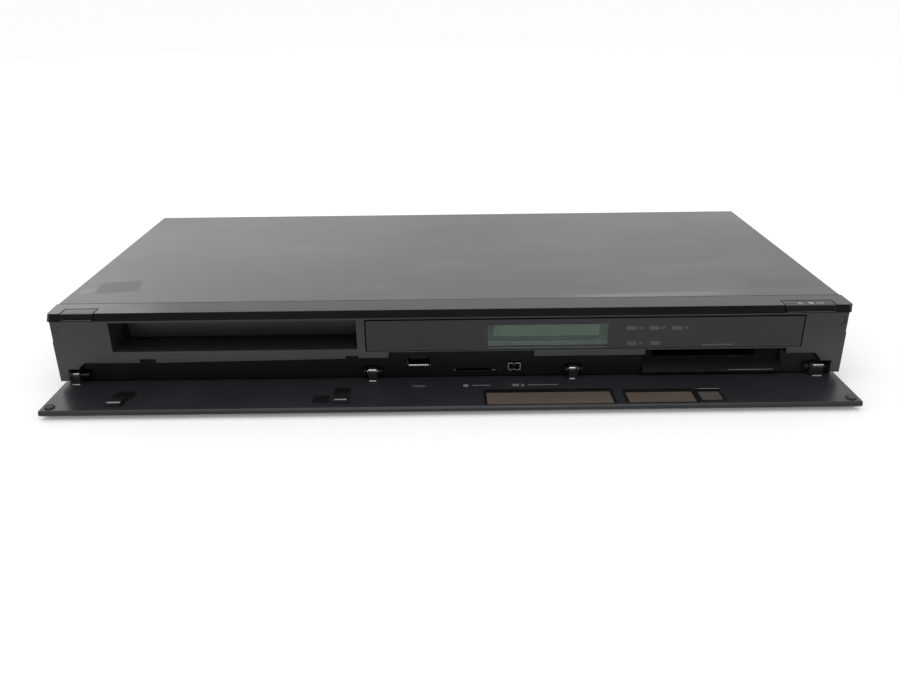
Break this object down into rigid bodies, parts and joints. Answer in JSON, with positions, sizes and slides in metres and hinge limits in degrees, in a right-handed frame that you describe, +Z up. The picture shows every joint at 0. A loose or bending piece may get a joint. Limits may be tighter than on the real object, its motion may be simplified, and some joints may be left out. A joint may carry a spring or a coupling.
{
  "type": "blu-ray disc recorder",
  "caption": "Slim disc recorder with a full-width fold-down front flap, loading disc tray, display window, front sockets and push buttons.",
  "frame": {"origin": "on the table, under the centre of the footprint with the front flap open", "axes": "+X to the right seen from the front, +Y to the rear panel, +Z up"},
  "size_m": [0.43, 0.2314, 0.049],
  "materials": {
    "gloss_black": "gloss black moulding",
    "fascia_plastic": "fine matt dark grey moulding",
    "black_plastic": "matt black moulding",
    "smoked_window": "smoked acrylic",
    "display_glass": "unlit display glass",
    "tinted_window": "brown tinted acrylic",
    "circuit_board": "solder mask",
    "bright_steel": "bright plated steel",
    "plain_steel": "zinc plated sheet",
    "painted_steel": "textured dark grey paint",
    "rubber": "black rubber",
    "white_plastic": "natural acetal",
    "cast_metal": "plain aluminium",
    "coil_tape": "winding tape",
    "capacitor_sleeve": "shrink sleeve"
  },
  "bodies": {
    "chassis": {"front_bar": "gloss_black", "fascia": "fascia_plastic", "port_panel": "black_plastic", "display_window": "smoked_window", "display_module": "display_glass", "front_board": "circuit_board", "power_switch": "black_plastic", "eject_switch": "black_plastic", "usb_port": "bright_steel", "sd_slot": "plain_steel", "dv_port": "bright_steel", "card_reader": "black_plastic", "hinge_pin_1": "bright_steel", "hinge_pin_2": "bright_steel", "hinge_pin_3": "bright_steel", "hinge_pin_4": "bright_steel", "base_pan": "plain_steel", "top_cover": "painted_steel", "rear_panel": "painted_steel", "foot_front_left": "rubber", "foot_front_right": "rubber", "foot_back_left": "rubber", "foot_back_right": "rubber", "cover_screw_1": "plain_steel", "cover_screw_2": "plain_steel", "drive_case": "black_plastic", "drive_lid": "plain_steel", "loading_motor": "plain_steel", "hard_drive": "cast_metal", "main_board": "circuit_board", "power_board": "circuit_board", "heat_sink": "cast_metal", "transformer": "coil_tape", "capacitor": "capacitor_sleeve", "tuner_can": "plain_steel", "hdmi_port": "bright_steel", "lan_port": "plain_steel", "ac_inlet": "black_plastic", "fan_frame": "black_plastic"},
    "flap": {"flap_panel": "gloss_black", "flap_window_1": "tinted_window", "flap_window_2": "tinted_window", "flap_window_3": "tinted_window", "flap_bumper_left": "rubber", "flap_bumper_right": "rubber"},
    "power_button": {"power_button": "gloss_black"},
    "eject_button": {"eject_button": "gloss_black"},
    "tray": {"tray": "black_plastic", "tray_bezel": "gloss_black"},
    "loading_gear": {"loading_gear": "white_plastic"},
    "traverse": {"traverse_frame": "black_plastic", "spindle_motor": "plain_steel", "guide_rod_left": "bright_steel", "guide_rod_right": "bright_steel"},
    "turntable": {"turntable": "black_plastic"},
    "pickup": {"pickup": "black_plastic"},
    "sled_screw": {"sled_screw": "bright_steel"},
    "disc_clamp": {"disc_clamp": "white_plastic"},
    "fan_rotor": {"fan_rotor": "black_plastic"}
  },
  "joints": [
    {"name": "flap_hinge", "type": "hinge", "parent": "chassis", "child": "flap", "pos_m": [0, -0.08165, 0.0102], "axis": [1, 0, 0], "range_deg": [-90, 0]},
    {"name": "power_press", "type": "slide", "parent": "chassis", "child": "power_button", "axis": [0, 0, -1], "range_m": [0, 0.0004], "stiffness_N_per_m": 500, "springref_m": -0.0004},
    {"name": "eject_press", "type": "slide", "parent": "chassis", "child": "eject_button", "axis": [0, 0, -1], "range_m": [0, 0.0004], "stiffness_N_per_m": 500, "springref_m": -0.0004},
    {"name": "tray_slide", "type": "slide", "parent": "chassis", "child": "tray", "axis": [0, -1, 0], "range_m": [0, 0.128]},
    {"name": "loading_gear_spin", "type": "hinge", "parent": "chassis", "child": "loading_gear", "pos_m": [-0.17031, -0.05195, 0.027], "axis": [0, 0, 1], "range_deg": [-1024, 0]},
    {"name": "traverse_lift", "type": "hinge", "parent": "chassis", "child": "traverse", "pos_m": [-0.117, 0.08205, 0.02], "axis": [1, 0, 0], "range_deg": [-5.1, 0]},
    {"name": "turntable_spin", "type": "hinge", "parent": "traverse", "child": "turntable", "pos_m": [-0.117, 0.00025, 0.02535], "axis": [0, -0.0889, 0.996], "continuous": true},
    {"name": "pickup_slide", "type": "slide", "parent": "traverse", "child": "pickup", "axis": [0, 0.996, 0.0889], "range_m": [0, 0.034]},
    {"name": "sled_screw_spin", "type": "hinge", "parent": "traverse", "child": "sled_screw", "pos_m": [-0.0855, 0.04221, 0.01644], "axis": [0, 0.996, 0.0889], "range_deg": [0, 4082]},
    {"name": "disc_clamp_spin", "type": "hinge", "parent": "chassis", "child": "disc_clamp", "pos_m": [-0.117, 0.00105, 0.04], "axis": [0, 0, 1], "continuous": true},
    {"name": "fan_spin", "type": "hinge", "parent": "chassis", "child": "fan_rotor", "pos_m": [0.015, 0.10245, 0.0262], "axis": [0, 1, 0], "continuous": true}
  ],
  "couplings": [
    {"joint": "loading_gear_spin", "follows": "tray_slide", "rad_per_m": -138.89},
    {"joint": "sled_screw_spin", "follows": "pickup_slide", "rad_per_m": 2094.4}
  ]
}
